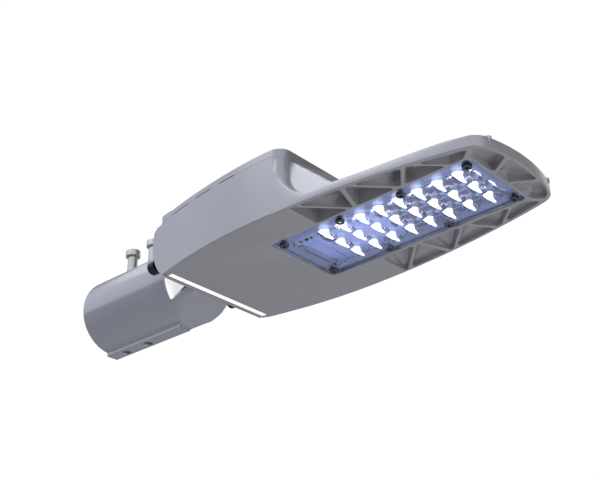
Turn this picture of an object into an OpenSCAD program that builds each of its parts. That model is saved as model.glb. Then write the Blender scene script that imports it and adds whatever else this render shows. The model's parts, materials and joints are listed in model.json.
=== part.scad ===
// Street lamp head with a pole spigot that tilts. Millimetres.
// +X runs from the pole socket to the tip, +Z is up, the origin is the
// centre of the socket's mouth.

/* [Pole socket] */
// Outside diameter of the spigot tube
tube_d = 76; // [75:0.5:78]
// Diameter of the pole that goes into the socket
pole_d = 60; // [58:0.5:61]
// Length of the tube from its mouth to its front end
tube_l = 118; // [116:1:119]
// Depth of the socket
socket_depth = 104; // [95:1:106]
// Distance from the mouth to the first clamp screw
clamp_x = 24.5; // [22:0.5:30]
// Distance between the two clamp screws
clamp_pitch = 32; // [28:1:36]

/* [Lamp head] */
// Half width of the head at its widest place
half_w = 78.5; // [77:0.5:80]
// Length of the underside from rear edge to tip
head_l = 326; // [324:1:330]
// Height of the outer rim of the head
rim_h = 8; // [7:0.5:9]
// Height of the compartment walls above the underside
wall_h = 54; // [53:0.5:55]
// Height of the closed lid above the underside
lid_top = 61; // [60.5:0.5:62]

/* [Light module] */
// Pitch of the module screws along the lamp
screw_pitch = 61; // [60.5:0.1:61.2]
// Distance between the two rows of module screws
screw_row = 64; // [63:0.5:65]
// Pitch of the lenses along the lamp
lens_pitch = 18.8; // [18:0.1:19]
// Pitch of the lenses across the lamp
row_pitch = 20; // [18:0.5:20]

/* [Fits] */
// Radial running clearance of pins and screws
fit = 0.05; // [0.03:0.01:0.08]

/* [Hidden] */
$fn = 48;
X0 = 151;            // rear edge of the underside
ZU = -23;            // height of the underside
PX = 19; PZ = 28;    // tilt axis, measured from the rear edge of the underside
hub_r = 20; hub_y = 54.2;
tube_r = tube_d / 2;
bore_r = pole_d / 2 + 0.75;
ear_in = 55;         // inner faces of the two ears
seam = 0.35;
lid_screw_y = 58; insert_z = 44;
board_z = 13;        // ceiling of the light module's recess
first_x = 111.8;     // first module screw from the rear edge
lock_y = 50; lock_z = 22;      // lock screws, from the middle and above the underside
hinge_x = -9.2;                // lid hinge axis, level with the top of the walls
screw_base = 61.3;             // underside of the clamp screws' heads
screw_l = 30;                  // length of the clamp screws under the head
grey = [0.66, 0.68, 0.72];
steel = [0.62, 0.65, 0.63];
dark = [0.18, 0.2, 0.23];

// ---- helpers -------------------------------------------------------------
module at_head() { translate([X0, 0, ZU]) children(); }
module along_y(x, z, r, y0, y1) {
  translate([x, y0, z]) rotate([-90, 0, 0]) cylinder(r = r, h = y1 - y0);
}
module along_x(y, z, r, x0, x1) {
  translate([x0, y, z]) rotate([0, 90, 0]) cylinder(r = r, h = x1 - x0);
}
module box(a, b) { translate(a) cube([b[0] - a[0], b[1] - a[1], b[2] - a[2]]); }
// a profile drawn in X and Z, extruded along Y
module side(pts, y0, y1) {
  translate([0, y1, 0]) rotate([90, 0, 0]) linear_extrude(y1 - y0) polygon(pts);
}
// a profile drawn in Y and Z, extruded along X
module across(pts, x0, x1) {
  translate([x0, 0, 0]) rotate([90, 0, 90]) linear_extrude(x1 - x0) polygon(pts);
}
// box with its four upright edges rounded, each by a run of short flats
function corner(c, r, a0) = [for (k = [0 : 6]) c + r * [cos(a0 + k * 15), sin(a0 + k * 15)]];
module round_box(a, b, r) {
  translate([0, 0, a[2]]) linear_extrude(b[2] - a[2]) polygon(concat(
    corner([b[0] - r, b[1] - r], r, 0), corner([a[0] + r, b[1] - r], r, 90),
    corner([a[0] + r, a[1] + r], r, 180), corner([b[0] - r, a[1] + r], r, 270)));
}
// half width of the head at x from the rear edge
function hw(x) = half_w - (x < 115 ? 0.001 : 0.00064) * pow(x - 115, 2);
// the nose of the plan is a shallow curve between two rounded corners
tip_r = 17;
tip_x = head_l - 21.7;
tip_y = 37.8;
function nose(y) = head_l + 0.7 - 0.0032 * y * y;
function half_plan(x0, i) = concat(
  [for (x = [x0 : 8 : tip_x - 4]) [x, hw(x) - i]],
  [for (a = [76 : -9 : 13]) [tip_x + (tip_r - i) * cos(a), tip_y + (tip_r - i) * sin(a)]],
  [for (y = [34 : -8 : 2]) [nose(y) - i, y]]);
function mirrored(p) = [for (k = [len(p) - 1 : -1 : 0]) [p[k][0], -p[k][1]]];
module plan(x0, i = 0) {
  h = half_plan(x0, i);
  polygon(concat(h, mirrored(h)));
}
// plan of the driver compartment, with rounded front corners
hump_x = 150; hump_r = 13;
function half_hump(x0, i) = concat(
  [for (x = [x0 : 8 : hump_x - hump_r - 2]) [x, hw(x) - i]],
  [for (a = [84 : -12 : 0]) [hump_x - hump_r + (hump_r - i) * cos(a),
    hw(hump_x - hump_r) - hump_r + (hump_r - i) * sin(a)]]);
module hump_plan(x0, i = 0) {
  h = half_hump(x0, i);
  polygon(concat(h, mirrored(h)));
}
module cap_screw(r_head, h_head, r_shank, l, hex) {
  difference() {
    union() {
      cylinder(r = r_head, h = h_head);
      translate([0, 0, -l]) cylinder(r = r_shank, h = l + 0.01);
    }
    translate([0, 0, h_head - h_head * 0.55]) cylinder(r = hex, h = h_head, $fn = 6);
  }
}

// ---- spigot --------------------------------------------------------------
// side view of the tongue that rises from the bottom of the tube to the hub
tongue = [[104, -40], [110, -38], [119, -33.5], [131, -27.5], [141, -22.5], [146, -18],
  [150, -8], [157, -4], [157, 0], [147.5, 0], [141, -9], [133, -15], [126, -21],
  [122, -25.2], [104, -25.4]];
module spigot() color(grey) difference() {
  union() {
    along_x(0, 0, tube_r, 0, tube_l);
    // bar with the two tapped holes
    side([[3, -tube_r - 4.5], [97, -tube_r - 4.5], [112, -tube_r + 0.5], [112, -tube_r + 6],
      [3, -tube_r + 6]], -6.5, 6.5);
    intersection() {
      side(tongue, -tube_r, tube_r);
      union() {
        intersection() {
          along_x(0, 0, tube_r, 104, 142);
          box([100, -25, -60], [142, 25, 60]);
        }
        box([136, -19, -30], [X0 + PX, 19, 20]);
      }
    }
  }
  along_y(X0 + PX, ZU + PZ, hub_r + 0.02, -60, 60);
  along_x(0, 0, bore_r, -1, socket_depth);
  along_x(0, 0, 22, socket_depth - 1, tube_l + 1);
  for (k = [0, 1]) translate([clamp_x + k * clamp_pitch, 0, 0]) {
    cylinder(r = 5 + fit, h = 60);
    translate([0, 0, -60]) cylinder(r = 4.25, h = 60);
  }
}
// hub that turns between the ears, with a way for the cable
module tilt_hub() color(grey) difference() {
  along_y(X0 + PX, ZU + PZ, hub_r, -hub_y, hub_y);
  for (s = [-1, 1]) along_y(X0 + PX, ZU + PZ, 6 + fit, s < 0 ? -60 : 34, s < 0 ? -34 : 60);
  box([X0 + PX - 24, -17, ZU + PZ - 5], [X0 + PX + 30, 17, ZU + PZ + 30]);
}
module clamp_screw(k) color(steel)
  translate([clamp_x + k * clamp_pitch, 0, screw_base]) cap_screw(7.4, 6.8, 5, screw_l, 3.5);
module clamp_screw_rear() clamp_screw(0);
module clamp_screw_front() clamp_screw(1);
module cable_seal() color([0.97, 0.97, 0.97]) difference() {
  union() {
    along_x(0, 0, tube_r - 0.6, tube_l + 0.3, tube_l + 3.3);
    along_x(0, 0, 21.7, tube_l - 9, tube_l + 0.5);
  }
  along_x(0, 3, 4.8, tube_l - 20, tube_l + 10);
  box([tube_l - 1, -60, -60], [tube_l + 10, 60, -24.4]);
}
module tilt_pins() color(steel) for (s = [-1, 1])
  along_y(X0 + PX, ZU + PZ, 6, s < 0 ? -61 : 38, s < 0 ? -38 : 61);

// ---- housing -------------------------------------------------------------
module roof(d) {
  // crowned top of the front half; d lowers it
  intersection() {
    across([[-80, rim_h - 1 - d], [-46, 19 - d], [0, 21 - d], [46, 19 - d], [80, rim_h - 1 - d],
      [80, -1], [-80, -1]], 100, head_l);
    side([[90, -1], [90, 30 - d], [290, 24 - d], [head_l + 2, rim_h - d], [head_l + 2, -1]],
      -90, 90);
  }
}
module pocket_plan() {
  // triangular cells between the module frame and the rim
  for (s = [-1, 1]) scale([1, s]) {
    polygon([[157, 43], [157, hw(157) - 3.5], [160, hw(160) - 3.5], [190, 43]]);
    polygon([[163.5, hw(163) - 3.5], [184, hw(184) - 3.5], [204, hw(204) - 3.5], [195, 44.5],
      [193, 44.5]]);
    polygon([[198.5, 43], [208, hw(208) - 5], [211, hw(211) - 5], [237, 43]]);
    polygon([[214.5, hw(214) - 3.5], [236, hw(236) - 3.5], [257, hw(257) - 3.5], [243, 44.5],
      [240.5, 44.5]]);
    polygon([[246, 43], [260, hw(260) - 5], [263, hw(263) - 5], [284, 43]]);
    polygon([[266.5, hw(266) - 3.5], [288, hw(288) - 3.5], [307, hw(307) - 4.5],
      [298, 43.5], [287.5, 43]]);
    polygon([[304, 40], [312.5, 48], [316.5, 42.5], [319.3, 34], [321.4, 23], [305, 10]]);
  }
  polygon([[305.5, -6], [305.5, 6], [322.8, 19], [323, 0], [322.8, -19]]);
}
// side view of the ears and walls: the ears' rear edge is an arc
ear_side = concat([[160, 0]],
  [for (a = [235.6 : -8 : 171]) [24.8 + 49.7 * cos(a), 41 + 49.7 * sin(a)]],
  [[-22.6, 51.2], [-19.5, 53.1], [-16, wall_h - seam], [160, wall_h - seam]]);
bracket_x = [58, 92];
fin_y = [-40, -30, -20, -10, 0, 10, 20, 30, 40];
module housing() color(grey) at_head() {
  difference() {
    union() {
      linear_extrude(rim_h) plan(0);
      intersection() { linear_extrude(40) plan(0, 3); roof(0); }
      // walls and ears
      intersection() {
        linear_extrude(wall_h - seam) hump_plan(-26);
        side(ear_side, -90, 90);
      }
      // sloping front of the compartment
      intersection() {
        linear_extrude(65) plan(100, 5);
        side([[110, 1], [110, wall_h - seam], [hump_x + 0.4, wall_h - seam], [hump_x + 0.4, 60.6],
          [206, 12], [206, 1]], -80, 80);
        across([[-74, 28], [-65, 51.5], [-41, 57.6], [-16, 60.6], [16, 60.6], [41, 57.6], [65, 51.5],
          [74, 28], [74, 1], [-74, 1]], 100, 210);
      }
      // cooling fins on the top of the front half
      intersection() {
        linear_extrude(60) plan(100, 3);
        for (y = fin_y) side([[190, 5], [190, 27], [205, 27], [292, 25.5],
          [322.5, rim_h + 1.2], [322.5, 5]], y - 1.2, y + 1.2);
      }
    }
    // open bay between the ears for the spigot's hub
    box([-40, -ear_in, 3.6], [43, ear_in, 90]);
    box([-40, -ear_in, -1], [-5.7, ear_in, 4]);
    // groove of the rear strip
    box([-1, -60, -1], [4.5, 60, 2.6]);
    // driver compartment
    intersection() {
      translate([0, 0, 4]) linear_extrude(80) hump_plan(19, 5);
      union() {
        box([47, -90, 4], [100, 90, 90]);
        box([99, -90, 16.5], [138, 90, 90]);
      }
    }
    // recess of the light module
    round_box([103.3, -39.3, -1], [301.4, 39.3, board_z], 4);
    // pockets under the roof
    intersection() {
      translate([0, 0, -1]) linear_extrude(40) pocket_plan();
      roof(3);
    }
    // wire way from the compartment to the module
    box([131.5, -12, board_z - 1], [138, 12, 17.5]);
    for (s = [-1, 1]) {
      along_y(PX, PZ, 6, s < 0 ? -61.5 : 54, s < 0 ? -54 : 61.5);
      along_y(hinge_x, wall_h, 2, s < 0 ? -55.5 : 47, s < 0 ? -47 : 55.5);
    }
    // cable gland in the bulkhead
    along_x(0, 42, 6 + fit, 40, 50);
    // breather
    along_x(30, 40, 3 + fit, 40, 50);
    for (k = [0 : 3], s = [-1, 1]) translate([first_x + k * screw_pitch, s * screw_row / 2, 3])
      cylinder(r = 2, h = 14);
  }
  // web over the strip's groove joins the ears
  box([-5.7, -ear_in - 3, 0], [-1, ear_in + 3, 3.6]);
  box([-2, -ear_in - 3, 2.6], [8, ear_in + 3, 3.6]);
  for (s = [-1, 1]) {
    // lugs of the lock screws
    difference() {
      box([-17, s * lock_y - 5.5, 14], [-9, s * lock_y + 5.5, 30]);
      along_x(s * lock_y, lock_z, 4 + fit, -20, 0);
    }
    // hinge knuckles of the lid
    difference() {
      union() {
        along_y(hinge_x, wall_h, 3.5, s < 0 ? -55.2 : 48.2, s < 0 ? -48.2 : 55.2);
        box([hinge_x - 3.5, s * 51.7 - 3.5, 42], [hinge_x + 3.5, s * 51.7 + 3.5, wall_h]);
      }
      along_y(hinge_x, wall_h, 2, s < 0 ? -56 : 47, s < 0 ? -47 : 56);
    }
    // posts under the lid screws' inserts
    translate([128, s * lid_screw_y, 4]) cylinder(r = 6.5, h = insert_z - 4);
    // posts of the driver bracket
    for (x = bracket_x) difference() {
      translate([x, s * 34, 3.9]) cylinder(r = 5, h = 10.1);
      translate([x, s * 34, 5]) cylinder(r = 2, h = 10);
    }
  }
  // bosses round the module screws
  for (k = [0 : 3], s = [-1, 1]) translate([first_x + k * screw_pitch, s * screw_row / 2, 6.2])
    difference() {
      cylinder(r = 4.2, h = board_z - 6.2 + 0.1);
      translate([0, 0, -1]) cylinder(r = 2, h = 14);
    }
}
module lid_screw_inserts() color(steel) at_head() for (s = [-1, 1])
  translate([128, s * lid_screw_y, insert_z]) difference() {
    cylinder(r = 6.5, h = wall_h - 0.6 - insert_z);
    translate([0, 0, -1]) cylinder(r = 3.2, h = 20);
  }
module lock_screw(s) color(dark) at_head() translate([-27, s * lock_y, lock_z])
  rotate([0, -90, 0]) cap_screw(6.5, 8, 4, 25.6, 3);
module lock_screw_left() lock_screw(1);
module lock_screw_right() lock_screw(-1);
module lock_nut(s) color(dark) at_head() translate([-23.6, s * lock_y, lock_z])
  rotate([0, 90, 0]) difference() {
    cylinder(r = 5.4, h = 6.2, $fn = 6);
    translate([0, 0, -1]) cylinder(r = 4 + fit, h = 9);
  }
module lock_nut_left() lock_nut(1);
module lock_nut_right() lock_nut(-1);
module rear_strip() color([0.97, 0.97, 0.97]) at_head()
  round_box([-0.9, -59.8, 0.3], [4.4, 59.8, 2.55], 1.5);

// ---- light module --------------------------------------------------------
module lens_cover() color([0.72, 0.78, 0.92]) at_head() difference() {
  union() {
    round_box([104, -38.6, 1.6], [300.7, 38.6, 5], 3.5);
    round_box([116, -27.6, -0.6], [296.5, 27.6, 5], 3);
    for (i = [0 : 7], j = [-1 : 1])
      translate([151 + i * lens_pitch, j * row_pitch, -0.5]) intersection() {
        translate([0, 0, 6.6]) sphere(r = 9.4, $fn = 32);
        box([-8.2, -8.2, -2.8], [8.2, 8.2, 1]);
      }
    round_box([291, -27.6, -1.4], [295.5, 27.6, 5], 2);
  }
  // hollow behind the lenses
  round_box([118.5, -26, 1.4], [290, 26, 6], 2);
  for (k = [0 : 3], s = [-1, 1]) translate([first_x + k * screw_pitch, s * screw_row / 2, 0])
    cylinder(r = 2.7, h = 8);
}
module lens_gasket() color(dark) at_head() difference() {
  round_box([104.6, -38, 5.05], [300.1, 38, 6.2], 3);
  round_box([117.5, -27, 4], [291, 27, 8], 2);
  for (k = [0 : 3], s = [-1, 1]) translate([first_x + k * screw_pitch, s * screw_row / 2, 0])
    cylinder(r = 2.7, h = 8);
}
module led_board() color([0.93, 0.94, 0.95]) at_head() difference() {
  round_box([106, -37, board_z - 2], [299, 37, board_z], 2);
  for (k = [0 : 3], s = [-1, 1]) translate([first_x + k * screw_pitch, s * screw_row / 2, 0])
    cylinder(r = 4.6, h = 20);
  box([132.5, -10, 10], [139, 10, 14]);
}
module led_chips() color([0.98, 0.93, 0.7]) at_head()
  for (i = [0 : 7], j = [-1 : 1])
    box([151 + i * lens_pitch - 2.5, j * row_pitch - 2.5, board_z - 3.8],
      [151 + i * lens_pitch + 2.5, j * row_pitch + 2.5, board_z - 2]);
module board_connector() color([0.92, 0.92, 0.9]) at_head()
  box([120, -9, board_z - 7], [131, 9, board_z - 2]);
module lens_screws() color(dark) at_head()
  for (k = [0 : 3], s = [-1, 1]) translate([first_x + k * screw_pitch, s * screw_row / 2, 1.5])
    rotate([180, 0, 0]) difference() {
      union() {
        translate([0, 0, -0.1]) cylinder(r = 4, h = 2.9);
        translate([0, 0, -12]) cylinder(r = 2, h = 12);
        translate([0, 0, -4.6]) cylinder(r = 2.6, h = 4.6);
      }
      translate([0, 0, 1]) cylinder(r = 1.5, h = 4, $fn = 6);
    }

// ---- lid -----------------------------------------------------------------
module lid_shape(i) {
  // i is the wall left outside this shape
  intersection() {
    linear_extrude(80) hump_plan(hinge_x + i, i);
    side([[hinge_x + i, wall_h], [hinge_x + i, lid_top + 0.6 - i], [3, lid_top - i],
      [9, lid_top - 1.2 - i], [60, lid_top - 1.1 - i], [130, lid_top + 0.2 - i],
      [hump_x, lid_top + 0.2 - i], [hump_x, wall_h]], -90, 90);
  }
}
module lid() color(grey) at_head() difference() {
  union() {
    difference() {
      lid_shape(0);
      difference() {
        translate([0, 0, -1]) lid_shape(3);
        for (s = [-1, 1]) translate([128, s * lid_screw_y, wall_h]) cylinder(r = 7, h = 20);
        box([hump_x - 8, -90, 0], [hump_x + 9, 90, 90]);
      }
      // notches along the lower edge
      for (x = [24, 55, 88], s = [-1, 1])
        box([x - 10, s * (hw(x) + 1) - 1.6, wall_h - 1],
          [x + 10, s * (hw(x) + 1) + 1.6, wall_h + 0.5]);
      // room for the housing's knuckles
      for (s = [-1, 1]) along_y(hinge_x, wall_h, 3.9, s < 0 ? -55.6 : 47.9, s < 0 ? -47.9 : 55.6);
    }
    // skirt and knuckles between the ears
    box([hinge_x, -47.9, wall_h - 4.8], [hinge_x + 2.8, 47.9, wall_h + 2]);
    for (s = [-1, 1]) along_y(hinge_x, wall_h, 3.3, s < 0 ? -47.9 : 36, s < 0 ? -36 : 47.9);
    for (x = [40, 80]) box([x - 1, -60, lid_top - 5], [x + 1, 60, lid_top - 2]);
  }
  for (s = [-1, 1]) {
    along_y(hinge_x, wall_h, 2 + fit, s < 0 ? -60 : 35, s < 0 ? -35 : 60);
    translate([128, s * lid_screw_y, 40]) cylinder(r = 2.5 + fit, h = 40);
  }
}
module lid_gasket() color(dark) at_head() difference() {
  intersection() {
    translate([0, 0, wall_h - seam]) linear_extrude(seam) hump_plan(47, 1.5);
    box([46, -90, 0], [hump_x - 2, 90, 90]);
  }
  intersection() {
    linear_extrude(80) hump_plan(19, 4.4);
    box([48.5, -90, 0], [136, 90, 90]);
  }
  for (s = [-1, 1]) translate([128, s * lid_screw_y, 40]) cylinder(r = 3, h = 40);
}
module lid_hinge_pins() color(steel) at_head() for (s = [-1, 1])
  along_y(hinge_x, wall_h, 2, s < 0 ? -55 : 37, s < 0 ? -37 : 55);
module lid_screw(s) color(steel) at_head() translate([128, s * lid_screw_y, lid_top + 0.2])
  cap_screw(4.5, 3.2, 2.5, 12, 2);
module lid_screw_left() lid_screw(1);
module lid_screw_right() lid_screw(-1);

// ---- inside the compartment ---------------------------------------------
module driver() color([0.9, 0.9, 0.92]) at_head() difference() {
  round_box([62, -27, 17], [134, 27, 44], 3);
  for (x = [68, 79, 90, 101, 112, 123]) box([x, -20, 42], [x + 3, 20, 45]);
}
module driver_bracket() color(steel) at_head() difference() {
  union() {
    box([53, -40, 14], [97, 40, 16]);
    for (s = [-1, 1]) box([64, s * 28.4 - 1.2, 15], [95, s * 28.4 + 1.2, 32]);
    box([64, -20, 15], [95, 20, 17]);
  }
  for (x = bracket_x, s = [-1, 1]) translate([x, s * 34, 0]) cylinder(r = 2.1, h = 20);
}
module driver_screws() color(steel) at_head() for (x = bracket_x, s = [-1, 1])
  translate([x, s * 34, 16]) cap_screw(3.6, 2.6, 2, 9, 1.6);
module terminal_block() color([0.93, 0.93, 0.9]) at_head() difference() {
  box([66, 44, 4], [98, 58, 20]);
  for (k = [0 : 2]) translate([73 + k * 9, 51, 14]) cylinder(r = 2.4, h = 9);
  for (k = [0 : 2]) along_y(73 + k * 9, 10, 1.8, 40, 50);
}
module surge_protector() color([0.75, 0.2, 0.15]) at_head()
  round_box([56, -62, 4], [96, -45, 27], 2);
module earth_screw() color([0.8, 0.65, 0.3]) at_head() translate([54, 60, 4]) {
  cylinder(r = 4, h = 3.2, $fn = 6);
  translate([0, 0, 3]) cylinder(r = 2, h = 6);
}
module cable_gland() color(dark) at_head() difference() {
  union() {
    along_x(0, 42, 6, 38, 54);
    along_x(0, 42, 9, 37.5, 43);
  }
  along_x(0, 42, 3.3, 20, 60);
}
module gland_nut() color(dark) at_head() difference() {
  translate([47, 0, 42]) rotate([0, 90, 0]) cylinder(r = 10, h = 4, $fn = 6);
  along_x(0, 42, 6 + fit, 40, 60);
}
module breather_vent() color(dark) at_head() {
  along_x(30, 40, 3, 42, 52);
  along_x(30, 40, 6, 39.5, 43);
}
module path_cable(pts, r) {
  for (k = [0 : len(pts) - 2]) let (a = pts[k], b = pts[k + 1], d = b - a, l = norm(d))
    translate(a) rotate([0, acos(d[2] / l), atan2(d[1], d[0])]) cylinder(r = r, h = l);
  for (k = [1 : len(pts) - 2]) translate(pts[k]) sphere(r = r * 1.04);
}
module cable_in_spigot() color(dark) at_head()
  path_cable([[-45, 0, 26], [-14, 0, 27], [-2, 0, 28], [18, 0, 28]], 3);
module cable_in_head() color(dark) at_head()
  path_cable([[21.4, 0, 30.2], [36, 0, 42], [57.2, 0, 42], [57.2, 50, 42], [57.2, 50, 14],
    [65.8, 50, 14]], 3);
module led_lead() color([0.75, 0.1, 0.1]) at_head()
  path_cable([[134, 6, 22], [136.3, 6, 22], [136.3, 6, 8.5], [131, 6, 8.5]], 1);

spigot();
clamp_screw_rear();
clamp_screw_front();
cable_seal();
tilt_hub();
tilt_pins();
housing();
lock_screw_left();
lock_screw_right();
lock_nut_left();
lock_nut_right();
rear_strip();
lens_cover();
lens_gasket();
led_board();
led_chips();
lens_screws();
board_connector();
lid();
lid_gasket();
lid_hinge_pins();
lid_screw_left();
lid_screw_right();
lid_screw_inserts();
driver();
driver_bracket();
driver_screws();
terminal_block();
surge_protector();
earth_screw();
cable_gland();
gland_nut();
breather_vent();
cable_in_spigot();
cable_in_head();
led_lead();
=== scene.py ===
import json
import math

import bmesh
import bpy
import numpy as np
from mathutils import Matrix, Vector
from mathutils.geometry import tessellate_polygon


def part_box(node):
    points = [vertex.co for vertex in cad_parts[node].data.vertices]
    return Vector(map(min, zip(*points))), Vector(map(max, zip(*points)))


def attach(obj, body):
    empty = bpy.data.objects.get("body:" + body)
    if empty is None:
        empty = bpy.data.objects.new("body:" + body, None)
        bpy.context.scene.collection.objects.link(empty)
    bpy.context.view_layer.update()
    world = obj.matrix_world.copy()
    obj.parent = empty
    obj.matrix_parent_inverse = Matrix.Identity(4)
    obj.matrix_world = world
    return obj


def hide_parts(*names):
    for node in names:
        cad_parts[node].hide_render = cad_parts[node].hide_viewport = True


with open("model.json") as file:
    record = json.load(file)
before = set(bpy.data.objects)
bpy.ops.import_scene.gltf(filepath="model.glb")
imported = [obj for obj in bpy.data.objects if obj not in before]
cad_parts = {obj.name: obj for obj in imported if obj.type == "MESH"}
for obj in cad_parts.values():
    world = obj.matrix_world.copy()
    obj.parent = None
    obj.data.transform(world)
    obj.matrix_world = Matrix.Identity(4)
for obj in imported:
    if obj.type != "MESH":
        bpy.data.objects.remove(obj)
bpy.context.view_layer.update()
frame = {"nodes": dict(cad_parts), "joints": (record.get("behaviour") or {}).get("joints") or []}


# ---------------------------------------------------------------- places, in millimetres
def frame_mm(metres, origin=0.0):
    """A place or length of the frame in millimetres from an origin, to a tenth."""
    return round(1000.0 * metres - origin, 1)


def hinge_place(name):
    """(x, z) of a hinge's axis in head coordinates."""
    x, _, z = next(j["pos_m"] for j in frame["joints"] if j["name"] == name)
    return frame_mm(x, HEAD_X), frame_mm(z, HEAD_Z)


# The spigot's tube, bar and tongue and the clamp screws are drawn in the frame's axes. All
# else is drawn in head coordinates: x from the rear edge of the underside towards the tip,
# z up from the underside. HEAD_X and HEAD_Z are where that origin lies in the frame.
HEAD_X = 151.0
HEAD_Z = frame_mm(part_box("housing")[0].z)
SIDES = (-1, 1)
PIVOT = hinge_place("head_tilt")
HINGE = hinge_place("lid_hinge")

# head casting
HALF_W, HEAD_L = 78.5, 326.0       # half width at the widest place, length of the underside
WIDEST_X = 115.0
TIP = (304.3, 37.8, 17.0)          # centre and radius of the rounded front corners
HUMP_FRONT, HUMP_R = 150.0, 13.0   # driver compartment's front end and its corner radius in plan
WALL = 53.65                       # top of the compartment's walls
FRONT_X, FRONT_TOP = 150.4, 61.0   # where the sloping front starts, and how high
LID_POST = (128, 58)
LUG = (50, 22)                     # y and z of the lock screws

# light module
SCREW_X, SCREW_PITCH, SCREW_ROW = 111.8, 61.0, 64.0
LENS_X, LENS_PITCH, ROW_PITCH = 151.0, 18.8, 20.0
LENSES, ROWS = range(8), (-1, 0, 1)
COVER_REAR, COVER_FRONT = (frame_mm(v.x, HEAD_X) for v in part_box("lens_cover"))
COVER_HALF = frame_mm(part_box("lens_cover")[1].y)
MODULE_SCREWS = [(SCREW_X + k * SCREW_PITCH, s * SCREW_ROW / 2) for k in range(4) for s in SIDES]

# spigot
TUBE_R, BORE_R, THROAT_R = 38.0, 30.75, 22.0
TUBE_L, SOCKET = 118.0, 104.0
CLAMP_X = [frame_mm(sum(v.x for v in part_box(n)) / 2) for n in ("clamp_screw_rear", "clamp_screw_front")]
HUB_R, HUB_Y = 20.0, 54.2


# ---------------------------------------------------------------- mesh helpers
def make(name, verts, faces, head=True):
    """Object from points in head coordinates, or in the frame's axes if head is False."""
    origin = np.array([HEAD_X, 0.0, HEAD_Z]) if head else np.zeros(3)
    me = bpy.data.meshes.new(name)
    me.from_pydata(((np.asarray(verts, float) + origin) / 1000.0).tolist(), [],
                   [tuple(int(i) for i in f) for f in faces])
    me.validate()
    ob = bpy.data.objects.new(name, me)
    bpy.context.scene.collection.objects.link(ob)
    bm = bmesh.new()
    bm.from_mesh(me)
    bmesh.ops.recalc_face_normals(bm, faces=bm.faces)
    bm.to_mesh(me)
    bm.free()
    return ob


def cap(loop, base):
    """Triangles over a closed loop whose points start at index base."""
    tris = tessellate_polygon([[Vector(p) for p in loop]])
    return [(base + a, base + b, base + c) for a, b, c in tris]


def band(a, b, n):
    """Quads between two closed loops of n points that start at indices a and b."""
    return [(a + i, a + (i + 1) % n, b + (i + 1) % n, b + i) for i in range(n)]


def loft(name, rings, head=True):
    """Closed solid through rings that have the same number of points."""
    n, last = len(rings[0]), len(rings) - 1
    faces = [f for k in range(last) for f in band(k * n, (k + 1) * n, n)]
    faces += cap(rings[0], 0) + cap(rings[-1], last * n)
    return make(name, [p for r in rings for p in r], faces, head)


def turned(profile, origin, axis, n):
    """Points of a profile of (radius, distance along the axis), turned in n steps."""
    axis = Vector(axis).normalized()
    u = axis.orthogonal().normalized()
    v = axis.cross(u)
    return [tuple(Vector(origin) + axis * h + (u * math.cos(t) + v * math.sin(t)) * max(r, 1e-4))
            for r, h in profile for t in np.linspace(0, 2 * math.pi, n, endpoint=False)]


def lathe(name, profile, origin, axis, n=64, head=True):
    """Solid of revolution through an open profile, closed by a flat face at each end."""
    last = len(profile) - 1
    faces = [f for k in range(last) for f in band(k * n, (k + 1) * n, n)]
    faces += [tuple(range(n)), tuple(last * n + i for i in range(n))]
    return make(name, turned(profile, origin, axis, n), faces, head)


def ring_lathe(name, profile, origin, axis, n, head):
    """Closed profile, such as a tube's wall, turned about an axis."""
    m = len(profile)
    faces = [f for k in range(m) for f in band(k * n, (k + 1) % m * n, n)]
    return make(name, turned(profile, origin, axis, n), faces, head)


def extrude(name, loop2, plane, a, b, head=True):
    """Prism of a 2D loop drawn in plane 'xz' (along y), 'yz' (along x) or 'xy' (along z)."""
    p = np.asarray(loop2, float)
    rings = []
    for t in (a, b):
        across = np.full(len(p), t)
        columns = {"xy": (p, across), "xz": (p[:, 0], across, p[:, 1]), "yz": (across, p)}[plane]
        rings.append(np.column_stack(columns))
    return loft(name, rings, head)


def block(name, a, b):
    """Box between two opposite corners."""
    return extrude(name, rect(a[0], a[1], b[0], b[1]), "xy", a[2], b[2])


def rod(name, p, q, r, n=48, head=True):
    """Cylinder from p to q."""
    p, q = Vector(p), Vector(q)
    return lathe(name, [(r, 0), (r, (q - p).length)], p, q - p, n, head)


def slab(name, x, y, low, high):
    """Closed sheet over a grid of points, with its two skins at heights low and high."""
    n = x.size
    verts = np.concatenate([np.stack([x, y, z], -1).reshape(-1, 3) for z in (low, high)])
    idx = np.arange(n).reshape(x.shape)
    quads = np.stack([idx[:-1, :-1], idx[1:, :-1], idx[1:, 1:], idx[:-1, 1:]], -1).reshape(-1, 4)
    faces = [tuple(q) for q in quads] + [tuple(q[::-1] + n) for q in quads]
    rim = list(idx[:, 0]) + list(idx[-1, 1:]) + list(idx[-2::-1, -1]) + list(idx[0, -2:0:-1])
    faces += [(a, a + n, b + n, b) for a, b in zip(rim, rim[1:] + rim[:1])]
    return make(name, verts, faces)


def inset(loop2, d):
    """Move a closed counter-clockwise 2D loop inwards by d."""
    p = np.asarray(loop2, float)
    t1 = np.roll(p, -1, 0) - p
    t0 = p - np.roll(p, 1, 0)
    t1 /= np.linalg.norm(t1, axis=1)[:, None] + 1e-12
    t0 /= np.linalg.norm(t0, axis=1)[:, None] + 1e-12
    n1 = np.stack([-t1[:, 1], t1[:, 0]], 1)
    n0 = np.stack([-t0[:, 1], t0[:, 0]], 1)
    m = n0 + n1
    m /= np.maximum((m * n1).sum(1), 0.35)[:, None]
    return p + m * d


def at_z(loop2, z):
    """The 2D loop at height z, which is one number or one for each point."""
    p = np.asarray(loop2, float)
    return np.column_stack([p, np.full(len(p), z) if np.isscalar(z) else z])


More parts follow.
